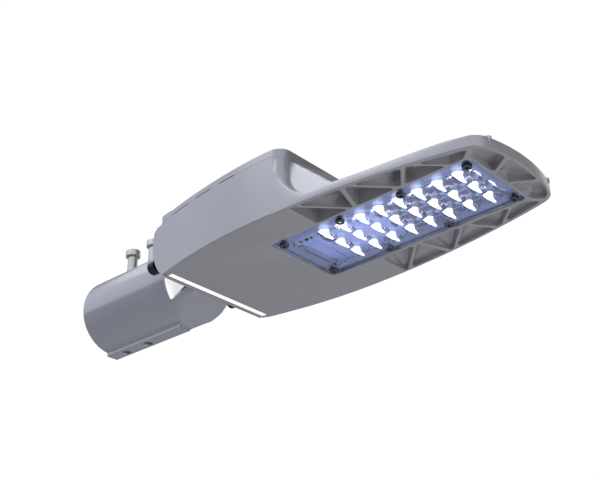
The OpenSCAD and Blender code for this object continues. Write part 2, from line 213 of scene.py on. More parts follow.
def round_corners(poly, r, k=5):
    """Counter-clockwise polygon with rounded corners; r is one radius or one per corner."""
    out = []
    n = len(poly)
    radii = [r] * n if np.isscalar(r) else r
    for i in range(n):
        p, a, b = (np.array(poly[j % n], float) for j in (i, i - 1, i + 1))
        u, v = a - p, b - p
        lu, lv = np.linalg.norm(u), np.linalg.norm(v)
        u, v = u / lu, v / lv
        half = math.acos(max(-1, min(1, float(u @ v)))) / 2
        d = min(radii[i] / max(math.tan(half), 1e-3), 0.45 * lu, 0.45 * lv)
        rr = d * math.tan(half)
        c = p + (u + v) / np.linalg.norm(u + v) * rr / math.sin(half)
        s, e = p + u * d - c, p + v * d - c
        a0 = math.atan2(s[1], s[0])
        da = (math.atan2(e[1], e[0]) - a0 + math.pi) % (2 * math.pi) - math.pi
        out += [c + rr * np.array([math.cos(a0 + da * t), math.sin(a0 + da * t)])
                for t in np.linspace(0, 1, k)]
    return np.array(out)


def rect(x0, y0, x1, y1, r=0.0, k=8):
    """Rectangle as a loop, with rounded corners where r isn't 0."""
    p = [(x0, y0), (x1, y0), (x1, y1), (x0, y1)]
    return round_corners(p, r, k) if r else np.array(p, float)


def curve(points, k):
    """Smooth open curve through points (Catmull-Rom), with k steps between each two."""
    p = np.array([points[0]] + list(points) + [points[-1]], float)
    out = []
    for i in range(1, len(p) - 2):
        a, b, c, d = p[i - 1:i + 3]
        for t in np.linspace(0, 1, k, endpoint=False):
            out.append(0.5 * (2 * b + (c - a) * t + (2 * a - 5 * b + 4 * c - d) * t * t
                              + (3 * b - a - 3 * c + d) * t ** 3))
    return np.array(out + [p[-1]])


def modified_mesh(ob):
    return bpy.data.meshes.new_from_object(ob.evaluated_get(bpy.context.evaluated_depsgraph_get()))


def boolean(ob, others, op="DIFFERENCE"):
    """Cut, join or intersect ob with each of the others, which are used up."""
    for other in others if isinstance(others, list) else [others]:
        m = ob.modifiers.new("boolean", "BOOLEAN")
        m.operation = op
        m.object = other
        m.solver = "MANIFOLD"
        me = modified_mesh(ob)
        if len(me.vertices) in (0, len(ob.data.vertices)):
            # the fast solver did nothing with this pair
            m.solver = "EXACT"
            me = modified_mesh(ob)
        ob.modifiers.clear()
        old = ob.data
        ob.data = me
        bpy.data.meshes.remove(old)
        bpy.data.objects.remove(other)
    return ob


def join(parts, name):
    """Join separate solids into the first of them, under a new name."""
    base = parts[0]
    base.name = name
    with bpy.context.temp_override(active_object=base, selected_editable_objects=parts):
        bpy.ops.object.join()
    return base


def finish_mesh(ob, angle, weighted=True):
    """Weld, drop slivers, and shade smooth with sharp edges above the angle in degrees."""
    bm = bmesh.new()
    bm.from_mesh(ob.data)
    bmesh.ops.remove_doubles(bm, verts=bm.verts, dist=2e-6)
    bmesh.ops.dissolve_degenerate(bm, edges=bm.edges, dist=2e-6)
    bm.to_mesh(ob.data)
    bm.free()
    ob.data.shade_smooth()
    ob.data.set_sharp_from_angle(angle=math.radians(angle))
    if weighted:
        m = ob.modifiers.new("normals", "WEIGHTED_NORMAL")
        m.keep_sharp = True
        m.weight = 60
    return ob


def smax(a, b, k):
    """The larger of a and b, blended smoothly where they differ by less than k."""
    h = np.clip(0.5 + 0.5 * (a - b) / k, 0, 1)
    return b * (1 - h) + a * h + k * h * (1 - h)


def smin(a, b, k):
    """The smaller of a and b, blended in the same way."""
    return -smax(-a, -b, k)


def ease(t):
    return t * t * (3 - 2 * t)


def plateau(x, a, b, soft):
    """1 between a and b, 0 outside, with straight shoulders as wide as soft."""
    return np.clip((x - a) / soft, 0, 1) * np.clip((b - x) / soft, 0, 1)


# ---------------------------------------------------------------- materials
def principled(name):
    mat = bpy.data.materials.new(name)
    mat.use_nodes = True
    nt = mat.node_tree
    return mat, nt, nt.nodes["Principled BSDF"]


def noise(nt, scale, detail=2.0):
    """Noise over the object's coordinates, which are places in the frame."""
    co = nt.nodes.new("ShaderNodeTexCoord")
    n = nt.nodes.new("ShaderNodeTexNoise")
    n.inputs["Scale"].default_value = scale
    n.inputs["Detail"].default_value = detail
    nt.links.new(co.outputs["Object"], n.inputs["Vector"])
    return n.outputs["Fac"]


def vary_colour(nt, fac, low, high, shader, start=0.0, end=1.0):
    """Base colour from low to high as fac goes from start to end."""
    ramp = nt.nodes.new("ShaderNodeValToRGB")
    for stop, place, colour in zip(ramp.color_ramp.elements, (start, end), (low, high)):
        stop.position = place
        stop.color = (*colour, 1)
    nt.links.new(fac, ramp.inputs["Fac"])
    nt.links.new(ramp.outputs["Color"], shader.inputs["Base Color"])


def vary_roughness(nt, fac, low, high, shader):
    m = nt.nodes.new("ShaderNodeMapRange")
    m.inputs["To Min"].default_value = low
    m.inputs["To Max"].default_value = high
    nt.links.new(fac, m.inputs["Value"])
    nt.links.new(m.outputs["Result"], shader.inputs["Roughness"])


def paint(name, colour, rough, bump, vary, grain=900.0, metallic=0.0, coat=0.0):
    """Opaque finish with a faint colour drift and a fine grain in its gloss and surface."""
    mat, nt, shader = principled(name)
    shader.inputs["Metallic"].default_value = metallic
    shader.inputs["IOR"].default_value = 1.5
    shader.inputs["Coat Weight"].default_value = coat
    shader.inputs["Coat Roughness"].default_value = 0.12
    vary_colour(nt, noise(nt, 14.0, 3.0), [c * (1 - vary) for c in colour],
                [min(1, c * (1 + vary)) for c in colour], shader, 0.3, 0.7)
    fine = noise(nt, grain)
    vary_roughness(nt, fine, rough - 0.04, rough + 0.06, shader)
    relief = nt.nodes.new("ShaderNodeBump")
    relief.inputs["Strength"].default_value = bump
    relief.inputs["Distance"].default_value = 0.0004
    nt.links.new(fine, relief.inputs["Height"])
    nt.links.new(relief.outputs["Normal"], shader.inputs["Normal"])
    return mat


def metal(name, colour, rough):
    return paint(name, colour, rough, 0.03, 0.08, 500.0, metallic=1.0)


def plastic(name, colour, rough=0.4, bump=0.04):
    return paint(name, colour, rough, bump, 0.04, 1400.0)


def glow(name, colour, strength):
    """Plastic that also shines."""
    mat = plastic(name, colour)
    shader = mat.node_tree.nodes["Principled BSDF"]
    shader.inputs["Emission Color"].default_value = (*colour, 1)
    shader.inputs["Emission Strength"].default_value = strength
    return mat


def clear(name, colour, rough, ior):
    """Clear plastic with a glossy skin and a faint cloud in its tint and gloss."""
    mat, nt, shader = principled(name)
    shader.inputs["Transmission Weight"].default_value = 1.0
    shader.inputs["Coat Weight"].default_value = 1.0
    shader.inputs["Coat Roughness"].default_value = 0.03
    shader.inputs["Coat IOR"].default_value = 1.5
    shader.inputs["IOR"].default_value = ior
    cloud = noise(nt, 60.0)
    vary_colour(nt, cloud, [c * 0.94 for c in colour], colour, shader)
    vary_roughness(nt, cloud, rough, rough + 0.04, shader)
    return mat


M = {
    "paint": paint("grey_powder_coat", (0.395, 0.395, 0.415), 0.24, 0.008, 0.03,
                   metallic=0.45, coat=0.2),
    "gloss": paint("grey_gloss_coat", (0.415, 0.425, 0.465), 0.17, 0.004, 0.03,
                   metallic=0.5),
    "gasket": plastic("pale_gasket", (0.60, 0.66, 0.86)),
    "steel": metal("zinc_steel", (0.50, 0.53, 0.51), 0.3),
    "dark": metal("black_steel", (0.045, 0.055, 0.065), 0.32),
    "lens_screw": metal("dark_stainless", (0.10, 0.13, 0.14), 0.2),
    # painted glow: the cable seal and the rear strip shine pure white though they are no lamp
    "white": glow("white_silicone_painted_glow", (0.95, 0.95, 0.95), 0.62),
    # painted glow: the LED board, its connector and its lead shine as if lit by the LEDs
    "board": glow("solder_mask_painted_glow", (0.50, 0.57, 0.86), 0.30),
    # painted highlight: glowing commas on the lenses, for the lit chips' glare and the highlights along
    # the lens ridges
    "chip": glow("painted_lens_highlight", (0.96, 0.97, 1.0), 1.6),
    "rubber": plastic("black_rubber", (0.02, 0.02, 0.022), 0.6),
    "cream": plastic("cream_plastic", (0.75, 0.74, 0.68)),
    "alu": metal("plain_aluminium", (0.62, 0.63, 0.64), 0.35),
    "red": plastic("red_plastic", (0.35, 0.03, 0.025)),
    "brass": metal("brass", (0.62, 0.45, 0.18), 0.25),
    "black": plastic("black_plastic", (0.02, 0.021, 0.023)),
    "clear": clear("clear_polycarbonate", (0.74, 0.80, 0.98), 0.03, 1.18),
}


def dress(ob, material):
    ob.data.materials.clear()
    ob.data.materials.append(M[material])


def show(ob, material, body, slot, *nodes):
    """Give a finished piece its material and its body, and hide the CAD nodes it replaces; slot is not
    used.
    """
    dress(ob, material)
    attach(ob, body)
    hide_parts(*nodes)


# ---------------------------------------------------------------- housing
def half_width(x):
    """Half width of the head: two parabolas that meet at the widest place."""
    x = np.asarray(x, float)
    return HALF_W - np.where(x < WIDEST_X, 0.001, 0.00064) * (x - WIDEST_X) ** 2


def edge_distance(x, y):
    """How far a place lies in from the head's outline."""
    return np.minimum(half_width(x) - np.abs(y), HEAD_L - x)


def half_outline(x0):
    """The +y half of the head's outline, from x0 round the front corner to the shallow tip."""
    tx, ty, r = TIP
    xs = np.arange(x0, tx - 0.9, 2.0)
    a = np.radians(np.arange(78, 11, -4.0))
    ys = np.linspace(36.0, 0, 18)
    return np.vstack([np.column_stack([xs, half_width(xs)]),
                      np.column_stack([tx + r * np.cos(a), ty + r * np.sin(a)]),
                      np.column_stack([HEAD_L + 0.7 - 0.0032 * ys ** 2, ys])])


def both_sides(h):
    """Counter-clockwise closed loop from the +y half, which runs from the rear to the tip."""
    low = h * [1, -1]
    keep = low if h[-1][1] > 1e-6 else low[:-1]
    return np.vstack([keep, h[::-1]])


def hump_corner():
    """Centre of the driver compartment's rounded front corner."""
    x = HUMP_FRONT - HUMP_R
    return x, float(half_width(x)) - HUMP_R


def hump_half(x0):
    """The +y half of the driver compartment's plan, from x0 round its front corner."""
    cx, cy = hump_corner()
    xs = np.arange(x0, cx - 1.0, 2.0)
    a = np.radians(np.arange(85, -1, -5.0))
    return np.vstack([np.column_stack([xs, half_width(xs)]),
                      np.column_stack([cx + HUMP_R * np.cos(a), cy + HUMP_R * np.sin(a)])])


def hump_distance(x, y):
    """Distance outside the driver compartment's plan (negative inside)."""
    ay = np.abs(y)
    cx, cy = hump_corner()
    side = ay - half_width(np.minimum(x, cx))
    corner = np.hypot(np.maximum(x - cx, 0), np.maximum(ay - cy, 0)) - HUMP_R
    return np.where((x > cx) & (ay > cy), corner, np.maximum(side, x - HUMP_FRONT))


def shoulder(d):
    """Rise from 0 at the rim to 1 inside, over a band 30 mm wide."""
    return ease(np.clip((d - 5.0) / 30.0, 0, 1))


def top_height(x, y, d):
    """Height of the casting's upper skin; d is the distance in from the outline."""
    rim = np.interp(x, [0, 235, 290, 330], [8.0, 8.0, 10.6, 10.2])
    crown = 10.0 * np.clip((330.0 - x) / 45.0, 0, 1) * shoulder(d)
    near = np.clip(1 - np.maximum(hump_distance(x, y), 0) / 32.0, 0, 1)
    sweep = rim - 0.4 + 44.0 * (1 - np.sqrt(np.maximum(1 - near * near, 0)))
    return np.where(x > HUMP_FRONT - 14.0, smax(rim + crown, sweep, 2.0), rim + crown)


def front_height(x, y):
    """Sloping front of the compartment, highest in the middle."""
    ay = np.abs(y)
    arch = np.interp(ay, [0, 16, 29, 41, 54, 65], [61.0, 60.3, 58.5, 56.2, 54.0, 51.6]) - FRONT_TOP
    flank = 9.0 + (half_width(x) - ay - 4.0) * 5.2
    return smin(FRONT_TOP - (x - FRONT_X) * 0.874 + arch, flank, 9.0)


def base_body():
    """The flat casting: a rolled rim, then an upper skin that runs in to the middle."""
    outline = both_sides(half_outline(0.0))
    ox, oy = outline[:, 0], outline[:, 1]
    rim = top_height(ox, oy, np.zeros(len(outline)))
    lip = inset(outline, 1.8)
    rings = [at_z(inset(outline, 1.1), 0.0), at_z(inset(outline, 0.35), 0.3), at_z(outline, 1.1),
             at_z(inset(outline, 0.1), rim - 2.0), at_z(inset(outline, 0.6), rim - 0.6),
             at_z(lip, top_height(lip[:, 0], lip[:, 1], np.full(len(outline), 1.8)))]
    middle = np.clip(ox, 6.0, HEAD_L - 76.0)
    reach = np.maximum(np.hypot(ox - middle, oy), 1e-6)
    for s in np.concatenate([np.arange(3.0, 42.0, 1.5), np.arange(42.0, 76.0, 4.0)]):
        f = np.minimum(s / reach, 0.985)
        x, y = ox + (middle - ox) * f, oy * (1 - f)
        rings.append(at_z(np.column_stack([x, y]), top_height(x, y, edge_distance(x, y))))
    return loft("housing_casting", rings)


def front_body():
    """Solid of the sloping front, trimmed to the head's plan."""
    x, y = np.meshgrid(np.linspace(FRONT_X, 214.0, 54), np.linspace(-76.0, 76.0, 128), indexing="ij")
    body = slab("front", x, y, np.full_like(x, 3.0), np.maximum(front_height(x, y), 3.6))
    plan = inset(both_sides(half_outline(100.0)), 2.0)
    return boolean(body, loft("plan", [at_z(plan, z) for z in (0.0, 70.0)]), "INTERSECT")


def side_profile():
    """Side view of the ears and compartment walls, as a closed loop in x and z."""
    a = np.radians(np.linspace(236.2, 171, 40))
    arc = np.column_stack([24.8 + 49.7 * np.cos(a), 41 + 49.7 * np.sin(a)])
    top = [(-24.0, 49.9), (-23.2, 50.8), (-21.9, 51.8), (-20.2, 52.8), (-18.4, 53.4),
           (-16.0, WALL), (160, WALL)]
    return np.vstack([[(160, -2)], arc, top])[::-1]


def pocket_plans():
    """Plans of the recesses under the rim, each with its corner radius or radii."""
    def rim(x):
        return float(half_width(x)) - 2.8

    left = [
        ([(157, 42.5), (190.5, 42.5), (160.2, rim(160)), (157, rim(157))], 1.6),
        ([(193.2, 43.4), (195.0, 43.4), (204.2, rim(204)), (164.2, rim(164))], 1.6),
        ([(198.6, 42.5), (237.2, 42.5), (212.0, rim(211) - 0.8), (208.6, rim(208) - 0.8)], 1.6),
        ([(240.0, 43.4), (242.2, 43.4), (257.0, rim(257)), (215.4, rim(215))], 1.6),
        ([(245.2, 42.5), (284.2, 42.5), (264.4, rim(263) - 0.8), (260.6, rim(260) - 0.8)], 1.6),
        ([(287.4, 42.5), (298.0, 42.5), (307.8, 50.6), (267.6, rim(267))], 1.6),
        ([(304.4, 11.4), (322.3, 24.0), (321.0, 34), (317.6, 43.2), (312.2, 48.4), (304.4, 41.6)],
         [1.6, 1.6, 8, 9, 1.6, 1.6]),
    ]
    right = [([(x, -y) for x, y in reversed(p)], r if np.isscalar(r) else r[::-1])
             for p, r in left]
    nose = ([(304.4, -7.6), (323.0, -19.8), (323.5, 0), (323.0, 19.8), (304.4, 7.6)], 1.6)
    return left + right + [nose]


def pocket_roof(loop):
    """Height of a recess's ceiling, about 3 mm under the upper skin."""
    x, y = loop[:, 0], loop[:, 1]
    return 5.2 + 9.0 * shoulder(edge_distance(x, y)) * np.clip((330.0 - x) / 50.0, 0.55, 1)


def pocket_cutter(poly, r):
    """Cutter for one recess: a rounded mouth, walls with draft, and a filleted ceiling."""
    loop = round_corners(poly, r, 5)
    mouth = 0.55
    rings = [at_z(inset(loop, d), z)
             for z, d in ((-2.0, -mouth), (0.0, -mouth), (0.17, -0.2), (mouth, 0.0))]
    for f, d in ((0.5, 0.12), (1.0, 0.28)):
        q = inset(loop, d)
        rings.append(at_z(q, mouth + (pocket_roof(q) - 1.4 - mouth) * f))
    for d, drop in ((0.7, 0.4), (1.6, 0.0)):
        q = inset(loop, d)
        rings.append(at_z(q, pocket_roof(q) - drop))
    centre = loop.mean(0)
    for f in (0.7, 0.4, 0.1):
        q = centre + (inset(loop, 1.6) - centre) * f
        rings.append(at_z(q, pocket_roof(q)))
    return loft("pocket", rings)


def flared_cut(name, loop, z_top, flare):
    """Straight cutter up from the underside, with a rounded mouth as wide as flare."""
    return loft(name, [at_z(inset(loop, -flare), -2.0), at_z(inset(loop, -flare), 0.0),
                       at_z(inset(loop, -flare * 0.35), flare * 0.3), at_z(loop, flare),
                       at_z(loop, z_top)])


def housing_cutters():
    """Everything that is taken out of the head casting."""
    px, pz = PIVOT
    hx, hz = HINGE
    cut = [
        block("bay", (-40, -55, 3.6), (43, 55, 90)),
        block("bay_rear", (-40, -55, -3), (-5.7, 55, 6)),
        flared_cut("strip_groove", rect(-1, -60, 4.5, 60), 2.6, 0.25),
        flared_cut("module_recess", rect(103.3, -39.3, 301.4, 39.3, 4), 13.0, 0.9),
        loft("compartment_rear", [at_z(rect(47, -70, 100, 70, 4), z) for z in (4.0, 90.0)]),
        loft("compartment_front", [at_z(rect(99, -66, 138, 66, 9), z) for z in (16.5, 90.0)]),
        block("wire_way", (131.5, -12, 12), (138, 12, 17.5)),
        rod("gland_hole", (40, 0, 42), (50, 0, 42), 6.0),
        rod("vent_hole", (40, 30, 40), (50, 30, 40), 3.0),
    ]
    for s in SIDES:
        cut.append(rod("pin_hole", (px, 54 * s, pz), (px, 61.5 * s, pz), 6.0))
        cut.append(rod("hinge_pin_hole", (hx, 47 * s, hz), (hx, 55.5 * s, hz), 2.0))
    cut += [rod("screw_hole", (x, y, 3), (x, y, 14.2), 2.0, 24) for x, y in MODULE_SCREWS]
    return cut + [pocket_cutter(poly, r) for poly, r in pocket_plans()]


def lock_lug(s):
    """Lug behind the hub that holds one lock screw."""
    y, z = s * LUG[0], LUG[1]
    lug = block("lug", (-17, y - 5.5, z - 8), (-9, y + 5.5, z + 8))
    return boolean(lug, rod("lug_hole", (-20, y, z), (0, y, z), 4.05))


def hinge_knuckle(s):
    """The housing's half of one lid hinge."""
    (hx, hz), r = HINGE, 3.5
    knuckle = rod("knuckle", (hx, 48.2 * s, hz), (hx, 55.2 * s, hz), r)
    root = block("root", (hx - r, s * 51.7 - r, 42), (hx + r, s * 51.7 + r, hz))
    boolean(knuckle, root, "UNION")
    return boolean(knuckle, rod("pin", (hx, 47 * s, hz), (hx, 57 * s, hz), 2.0))


def drilled_post(x, y, z0, z1, r, drill_z0, drill_z1):
    """Upright post with a 4 mm hole."""
    post = rod("post", (x, y, z0), (x, y, z1), r, 32)
    return boolean(post, rod("drill", (x, y, drill_z0), (x, y, drill_z1), 2.0, 24))


def cooling_fin(y):
    """One fin on the upper skin, 2.4 mm thick, following the crown."""
    top = [(196, 8), (206, 20.5), (220, 22.0), (250, 22.0), (280, 21.5), (300, 18.0), (312, 14.5),
           (322, 11.0)]
    profile = top + [(322, 7.0), (196, 7.0)]
    return extrude("fin", profile[::-1], "xz", y - 1.2, y + 1.2)


def housing_growths():
    """Everything that stands on the cut casting: bar, lugs, knuckles, posts, bosses, fins."""
    grow = [block("bar", (-5.7, -61, 0.0), (-1, 61, 3.6)), block("web", (-2, -61, 2.6), (8, 61, 3.6))]
    px, py = LID_POST
    for s in SIDES:
        grow += [lock_lug(s), hinge_knuckle(s), rod("post", (px, py * s, 4), (px, py * s, 44), 6.5)]
        grow += [drilled_post(bx, 34 * s, 3.9, 14.0, 5.0, 5, 20) for bx in (58, 92)]
    grow += [drilled_post(x, y, 6.2, 13.1, 4.2, 5, 15) for x, y in MODULE_SCREWS]
    return grow + [cooling_fin(-40.0 + 10 * i) for i in range(9)]


def build_housing():
    body = base_body()
    walls = loft("walls", [at_z(both_sides(hump_half(-28.0)), z) for z in (1.0, 60.0)])
    boolean(walls, extrude("profile", side_profile(), "xz", -95, 95), "INTERSECT")
    boolean(body, walls, "UNION")
    boolean(body, [front_body(), block("join", (138, -61, 4), (151, 61, WALL))], "UNION")
    boolean(body, housing_cutters())
    boolean(body, housing_growths(), "UNION")
    return finish_mesh(body, 34)


show(build_housing(), "paint", "head", "housing", "housing")


# ---------------------------------------------------------------- lid
def lid_top(loop):
    """Height of the lid's upper face, which is slightly domed towards the front."""
    x, y = loop[:, 0], loop[:, 1]
    edge = np.interp(x, [-9.2, 2.0, 8.0, 60, 118, 150], [61.7, 61.3, 59.8, 59.8, 61.0, 61.2])
    return edge + 2.0 * np.clip((x - 50) / 90, 0, 1) * (1 - (y / half_width(x)) ** 2)


def lid_shell(plan):
    """The lid as a solid: a thin rim, a rounded edge of 0.9 mm and a domed top."""
    r = 0.9
    rings = [at_z(inset(plan, 0.2), WALL + 0.05), at_z(plan, WALL + 0.25), at_z(plan, lid_top(plan) - r)]
    for a in np.radians([30, 60, 90]):
        q = inset(plan, r * (1 - math.cos(a)))
        rings.append(at_z(q, lid_top(q) - r + r * math.sin(a)))
    x, y = rings[-1][:, 0], rings[-1][:, 1]
    middle = np.clip(x, 4.0, 136.0)
    for d in (2.0, 6.0, 12.0, 20.0, 30.0, 40.0, 52.0, 62.0, 72.0):
        f = np.minimum(d / np.maximum(np.hypot(x - middle, y), 1e-6), 0.985)
        q = np.column_stack([x + (middle - x) * f, y * (1 - f)])
        rings.append(at_z(q, lid_top(q)))
    return loft("lid_cover", rings)


def lid_hollow(plan):
    """The lid's inside, which leaves its walls, its front and two screw bosses."""
    inner = loft("lid_hollow", [at_z(inset(plan, 3.0), z) for z in (48.0, 57.4)])
    boolean(inner, block("front_wall", (142, -90, 0), (160, 90, 90)))
    x, y = LID_POST
    for s in SIDES:
        boolean(inner, rod("boss", (x, y * s, 54), (x, y * s, 70), 7.0))
    return inner


def build_lid():
    hx, hz = HINGE
    px, py = LID_POST
    plan = both_sides(hump_half(hx))
    lid = lid_shell(plan)
    cuts = [lid_hollow(plan)]
    for s in SIDES:
        cuts.append(rod("knuckle_room", (hx, 47.9 * s, hz), (hx, 55.6 * s, hz), 3.9))
        for a, b in ((3, 34), (47, 67), (79, 98)):
            y = float(half_width((a + b) / 2))
            cuts.append(extrude("notch", rect(a, 53, b, 54.5), "xz", s * (y - 2.2), s * (y + 6)))
    boolean(lid, cuts)
    grow = [block("skirt", (hx, -47.9, 49.2), (hx + 2.8, 47.9, 56))]
    grow += [rod("knuckle", (hx, 36 * s, hz), (hx, 47.9 * s, hz), 3.3) for s in SIDES]
    grow += [block("rib", (x - 1, -60, 55), (x + 1, 60, 58)) for x in (40, 80)]
    boolean(lid, grow, "UNION")
    for s in SIDES:
        boolean(lid, [rod("pin", (hx, 35 * s, hz), (hx, 60 * s, hz), 2.05),
                      rod("screw", (px, py * s, 40), (px, py * s, 80), 2.55)])
    return finish_mesh(lid, 34)


show(build_lid(), "paint", "lid", "lid", "lid")


# ---------------------------------------------------------------- spigot
def spigot_tube():
    """The tube's wall with its front disc, turned about X."""
    wall = [(TUBE_R - 1, 0), (TUBE_R - 0.3, 0.3), (TUBE_R, 1), (TUBE_R, TUBE_L - 1),
            (TUBE_R - 0.3, TUBE_L - 0.3), (TUBE_R - 1, TUBE_L), (THROAT_R, TUBE_L),
            (THROAT_R, SOCKET), (BORE_R, SOCKET), (BORE_R, 1), (BORE_R + 0.6, 0)]
    return ring_lathe("spigot_casting", wall, (0, 0, 0), (1, 0, 0), 128, head=False)


def spigot_bar():
    """Bar under the tube, with hollow fillets where it meets the tube."""
    w, bottom, shoulder_z, fillet = 6.5, -42.5, -39.6, 2.6
    half = [(-w + 0.8, bottom), (-w + 0.25, bottom + 0.25), (-w, bottom + 0.8), (-w, -39.2)]
    half += [(-w - fillet * (1 - math.cos(t)), shoulder_z + fillet * math.sin(t))
             for t in np.radians([15, 35, 60, 85])]
    half.append((-12, -34))
    loop = half + [(-y, z) for y, z in reversed(half)]
    return extrude("bar", loop[::-1], "yz", 3, 111, head=False)


def spigot_tongue():
    """Tongue from the tube to the hub: a flat face below, with slightly bowed, rising sides."""
    rings = []
    for x in np.concatenate([np.arange(106.0, 117, 1.5), np.arange(117.9, 155, 1.5)]):
        bottom = np.interp(x, [104, 110, 141, 144.5, 147, 150, 156],
                           [-41, -38, -22.5, -19.8, -15.0, -8, -4])
        w = np.interp(x, [104, 109, 110, 112, 115, 119, 125, 131, 138, 143, 156],
                      [1, 1.5, 3, 8.4, 13.0, 16.6, 19.2, 20, 19, 17.5, 17])
        stations = [104, 118, 130, 141, 147, 156]
        side_y = np.interp(x, stations, [27, 28.0, 27, 24, 20, 18])
        side_z = np.interp(x, stations, [-25.8, -25.8, -21.5, -15.5, -9, -2])
        top = np.interp(x, stations, [-25.0, -25.0, -18.0, -9.5, -2.5, 10])
        a, b = np.array([w, bottom]), np.array([side_y, side_z])
        out = np.array([b[1] - a[1], -(b[0] - a[0])])
        out = out / np.linalg.norm(out)
        t = np.linspace(0, 1, 9)[:, None]
        bowed = a + (b - a) * t + out * 1.3 * 4 * t * (1 - t)
        half = np.vstack([[[w * 0.5, bottom]], bowed, [[side_y - 0.4, max(top, side_z + 0.5)]]])
        loop = np.vstack([half, half[::-1] * [-1, 1]])
        rings.append(np.column_stack([np.full(len(loop), x), loop]))
    return loft("tongue", rings, head=False)


def build_spigot():
    px, pz = PIVOT
    tube = spigot_tube()
    boolean(tube, spigot_bar(), "UNION")
    boolean(tube, extrude("front_cut", [(108, -39), (119, -33.5), (119, -50), (108, -50)], "xz",
                          -22, 22, head=False))
    boolean(tube, spigot_tongue(), "UNION")
    end = [(HUB_R - 0.8, HUB_Y), (HUB_R - 0.2, HUB_Y - 0.2), (HUB_R, HUB_Y - 0.8)]
    profile = [(r, -y) for r, y in end] + end[::-1]
    boolean(tube, lathe("hub", profile, (px, 0, pz), (0, 1, 0), 96), "UNION")
    cuts = [block("cable_way", (px - 24, -17, pz - 5), (px + 30, 17, pz + 30))]
    cuts += [rod("pin", (px, 34 * s, pz), (px, 60 * s, pz), 6.05) for s in SIDES]
    for x in CLAMP_X:
        cuts.append(rod("clamp", (x, 0, 10), (x, 0, 60), 5.05, head=False))
        cuts.append(lathe("tap", [(4.25, 0), (4.25, 17.8), (5.0, 18.6), (5.0, 22)], (x, 0, -24),
                          (0, 0, -1), 40, head=False))
    boolean(tube, cuts)
    return finish_mesh(tube, 34)


show(build_spigot(), "gloss", "spigot", "spigot", "spigot", "tilt_hub")


# ---------------------------------------------------------------- screws
def cap_screw(name, origin, axis, head_r, head_h, shank_r, length, socket_r, head=True, chamfer=0.7):
    """Cap screw with a hexagon socket; origin is the underside of its head."""
    c = chamfer
    profile = [(shank_r - 0.5, -length), (shank_r, -length + 0.6), (shank_r, 0),
               (head_r - 0.3, 0), (head_r, 0.35), (head_r, head_h - c),
               (head_r - 0.25 * c, head_h - 0.3 * c), (head_r - c, head_h), (0.01, head_h)]
    screw = lathe(name, profile, origin, axis, 64, head)
    floor_of_socket = Vector(origin) + Vector(axis) * (head_h * 0.45)
    boolean(screw, lathe("socket", [(socket_r, 0), (socket_r, head_h)], floor_of_socket, axis, 6, head))
    return finish_mesh(screw, 30)


M10 = dict(head_r=7.4, head_h=6.8, shank_r=5.0, length=30.0, socket_r=3.5)
M8 = dict(head_r=6.5, head_h=8.0, shank_r=4.0, length=25.6, socket_r=3.0)
M5 = dict(head_r=4.5, head_h=3.2, shank_r=2.5, length=12.0, socket_r=2.0, chamfer=0.4)
for x, where in zip(CLAMP_X, ("rear", "front")):
    node = "clamp_screw_" + where
    show(cap_screw(node + "_bolt", (x, 0, 61.3), (0, 0, 1), **M10, head=False),
         "steel", "clamp_" + where, "clamp_screws", node)
for s, where in ((1, "left"), (-1, "right")):
    node = "lock_screw_" + where
    show(cap_screw(node + "_bolt", (-27, LUG[0] * s, LUG[1]), (-1, 0, 0), **M8),
         "dark", "lock_" + where, "lock_screws", node)
for s, where in ((1, "left"), (-1, "right")):
    node = "lid_screw_" + where
    show(cap_screw(node + "_bolt", (LID_POST[0], LID_POST[1] * s, 61.4), (0, 0, 1), **M5),
         "steel", "lid_screw_" + where[0], "lid_screws", node)


def lens_screws():
    """The eight screws of the light module, seen from below."""
    profile = [(1.7, -12), (2.0, -11.6), (2.0, -4.6), (2.6, -4.5), (2.6, 0), (3.8, 0), (4.0, 0.25),
               (4.0, 1.9), (3.7, 2.6), (3.1, 2.8), (0.01, 2.8)]
    parts = []
    for x, y in MODULE_SCREWS:
        screw = lathe("lens_bolt", profile, (x, y, 1.5), (0, 0, -1), 40)
        boolean(screw, lathe("socket", [(1.5, 0), (1.5, 3)], (x, y, 0.3), (0, 0, -1), 6))
        parts.append(screw)
    return finish_mesh(join(parts, "lens_bolts"), 30)


show(lens_screws(), "lens_screw", "head", "lens_screws", "lens_screws")


# ---------------------------------------------------------------- clear lens cover
def within(y, half, soft):
    """1 along the middle line, easing to 0 over the last soft before the distance half."""
    return ease(np.clip((half - np.abs(y)) / soft, 0, 1))


def cover_edge(x, y):
    """How far a place lies in from the cover's edge."""
    return np.minimum(np.minimum(x - COVER_REAR, COVER_FRONT - x), COVER_HALF - np.abs(y))


def from_lens(x, y):
    """Place of each point as seen from the middle of the nearest lens."""
    i = np.clip(np.round((x - LENS_X) / LENS_PITCH), LENSES[0], LENSES[-1])
    j = np.clip(np.round(y / ROW_PITCH), ROWS[0], ROWS[-1])
    return x - (LENS_X + i * LENS_PITCH), y - j * ROW_PITCH


def cover_depth(x, y):
    """How far the outer skin stands below the flange."""
    bow = 1 - (y / 26) ** 2
    z = 2.2 * ease(plateau(x, 115.5, 297.0, 2.2)) * within(y, 27.8, 1.8)
    z += 0.7 * ease(plateau(x, 291.0, 296.0, 1.5)) * within(y, 27.8, 1.5)
    z -= 1.2 * ease(plateau(x, 119.5, 133.0 + 3.0 * bow, 1.2)) * within(y, 25.5, 1.2)
    # curved ridges beside the connector's window, and fine ribs at the front end
    inside = within(y, 25.0, 1.5)
    for ridge in (121.6, 135.4):
        z += 0.7 * inside * np.exp(-((x - ridge - 3.2 * bow) / 0.7) ** 2)
    rib = np.where((x > 290.4) & (x < 296.4), 0.5 - 0.5 * np.cos((x - 290.4) * np.pi), 0)
    z += 0.45 * inside * rib
    # raised border of the flange
    z += 0.35 * np.exp(-((cover_edge(x, y) - 2.6) / 0.5) ** 2)
    dx, dy = from_lens(x, y)
    q = np.maximum(1 - (dx / 6.6) ** 2 - (dy / 9.8) ** 2, 0)
    return z + 3.4 * np.sqrt(q) * ease(np.clip(q * 6, 0, 1))


